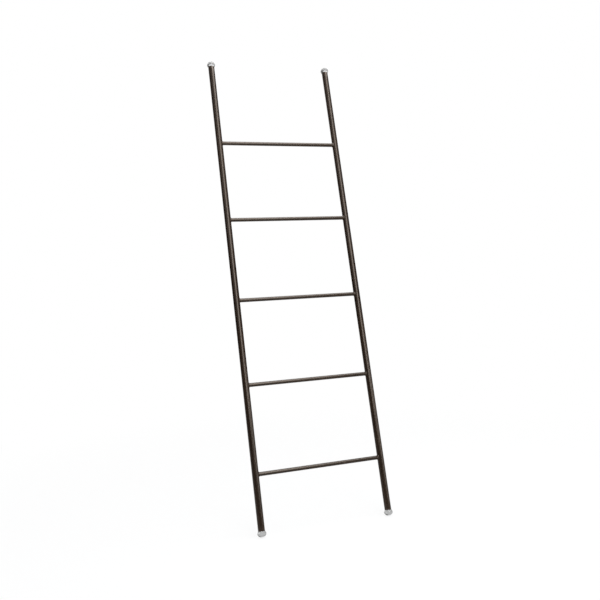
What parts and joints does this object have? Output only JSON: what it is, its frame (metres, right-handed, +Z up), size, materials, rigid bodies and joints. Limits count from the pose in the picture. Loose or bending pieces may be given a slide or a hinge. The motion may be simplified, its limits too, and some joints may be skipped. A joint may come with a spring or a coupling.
{
  "type": "towel ladder",
  "caption": "Leaning towel ladder of dark bronze steel tube: slim round rungs welded between round stiles, with a clear domed cap on each end of the stiles.",
  "frame": {"origin": "on the floor, midway between the points where the two foot caps touch it", "axes": "+X along the rungs, to the right as seen from the room; +Y towards the wall that the ladder leans on; +Z up"},
  "size_m": [0.424, 0.4085, 1.4503],
  "materials": {
    "bronze_finish": "dark bronze-brown baked finish with a soft satin sheen",
    "clear_cap": "clear moulded plastic, polished dome"
  },
  "bodies": {
    "root": {"stile_left": "bronze_finish", "stile_right": "bronze_finish", "rung_1": "bronze_finish", "rung_2": "bronze_finish", "rung_3": "bronze_finish", "rung_4": "bronze_finish", "rung_5": "bronze_finish", "weld_1_left": "bronze_finish", "weld_1_right": "bronze_finish", "weld_2_left": "bronze_finish", "weld_2_right": "bronze_finish", "weld_3_left": "bronze_finish", "weld_3_right": "bronze_finish", "weld_4_left": "bronze_finish", "weld_4_right": "bronze_finish", "weld_5_left": "bronze_finish", "weld_5_right": "bronze_finish", "foot_cap_left": "clear_cap", "foot_cap_right": "clear_cap", "wall_cap_left": "clear_cap", "wall_cap_right": "clear_cap"}
  },
  "joints": []
}
